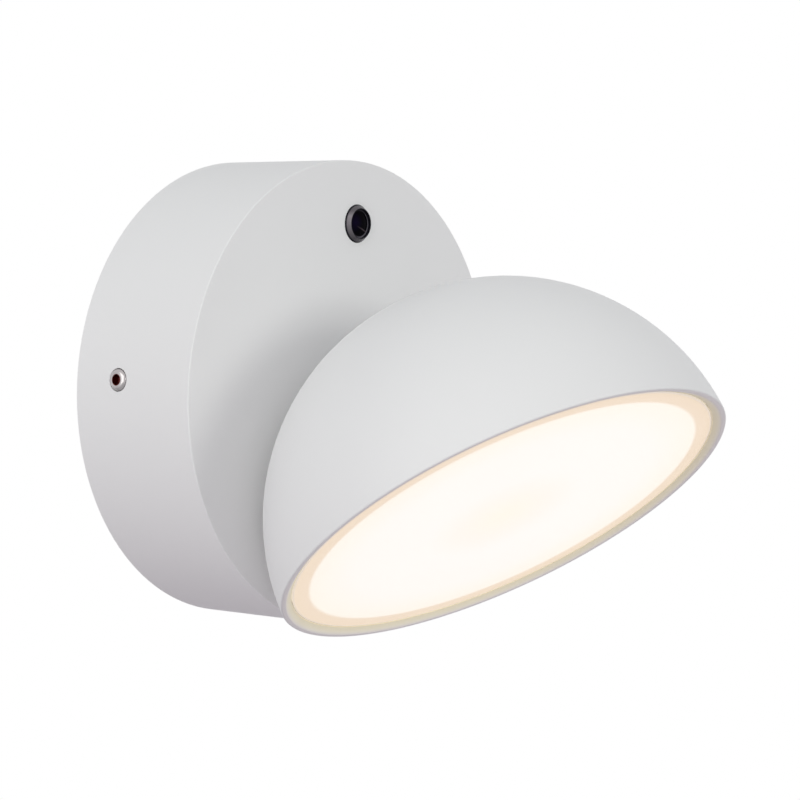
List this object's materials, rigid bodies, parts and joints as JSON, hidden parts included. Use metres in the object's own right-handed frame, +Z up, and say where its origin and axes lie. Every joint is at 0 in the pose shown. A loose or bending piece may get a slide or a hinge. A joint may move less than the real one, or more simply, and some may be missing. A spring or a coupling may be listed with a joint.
{
  "type": "outdoor wall lamp",
  "caption": "Round white wall lamp for outdoors: a drum with a dusk sensor stands on the wall and carries a half-ball head that swivels and shines down through an opal diffuser.",
  "frame": {"origin": "on the wall, at the middle of the drum and of the pair of wall slots", "axes": "+X to the right when facing the wall, +Y into the wall, +Z up"},
  "size_m": [0.1212, 0.1408, 0.1231],
  "materials": {
    "white_coat": "white matt powder coat on a die casting",
    "zinc_steel": "zinc-plated steel, satin",
    "spring_steel": "oiled spring steel",
    "stainless_screw": "bright stainless steel",
    "grey_rubber": "closed-cell foam rubber",
    "black_rubber": "soft moulded rubber",
    "white_rubber": "soft moulded silicone rubber",
    "black_gloss": "polished black moulding",
    "dark_lens": "polished dark infrared-passing lens",
    "clear_resin": "clear cast resin",
    "green_board": "glass-fibre board with green solder mask",
    "white_board": "aluminium-core board with white solder mask",
    "black_plastic": "fine-textured black moulding",
    "white_plastic": "fine-textured white moulding",
    "white_gloss": "glossy white moulding",
    "bush_plastic": "natural low-friction moulding",
    "component_resin": "wound and sleeved components",
    "opal_plastic": "satin opal sheet, lit warm white",
    "led_phosphor": "yellow phosphor resin",
    "plain_brass": "turned brass",
    "tinned_brass": "tin-plated brass",
    "bare_aluminium": "blanked sheet, plain",
    "black_insulation": "smooth cable insulation",
    "brown_insulation": "smooth cable insulation",
    "blue_insulation": "smooth cable insulation",
    "green_insulation": "smooth cable insulation",
    "white_insulation": "smooth cable insulation"
  },
  "bodies": {
    "base": {"drum_housing": "white_coat", "wall_bracket": "zinc_steel", "wall_gasket": "grey_rubber", "cable_grommet": "black_rubber", "side_screws": "stainless_screw", "sensor_bezel": "black_gloss", "sensor_lens": "dark_lens", "sensor_seal": "black_rubber", "sensor_nut": "black_gloss", "sensor_board": "green_board", "photo_cell": "clear_resin", "sensor_lead": "black_insulation", "driver_case": "black_plastic", "driver_lid": "black_plastic", "driver_screws": "zinc_steel", "driver_board": "green_board", "driver_components": "component_resin", "terminal_block": "white_plastic", "terminal_inserts": "plain_brass", "terminal_screws": "zinc_steel", "block_screws": "zinc_steel", "earth_lug": "tinned_brass", "earth_screw": "zinc_steel", "live_lead": "brown_insulation", "neutral_lead": "blue_insulation", "earth_lead": "green_insulation", "led_cable_base": "white_insulation", "swivel_bush": "bush_plastic", "swivel_seal": "black_rubber"},
    "head": {"head_shell": "white_coat", "diffuser": "opal_plastic", "diffuser_seal": "white_rubber", "reflector_cup": "white_gloss", "light_board": "white_board", "leds": "led_phosphor", "led_plug": "white_plastic", "board_screws": "zinc_steel", "heat_plate": "bare_aluminium", "plate_screws": "zinc_steel", "neck_tube": "zinc_steel", "neck_nut": "zinc_steel", "neck_washer": "zinc_steel", "stop_washer": "zinc_steel", "disc_spring": "spring_steel", "swivel_nut": "zinc_steel", "led_cable_head": "white_insulation"}
  },
  "joints": [
    {"name": "head_swivel", "type": "hinge", "parent": "base", "child": "head", "pos_m": [0, -0.0915, -0.02924], "axis": [0, 1, 0], "range_deg": [-160, 160]}
  ]
}
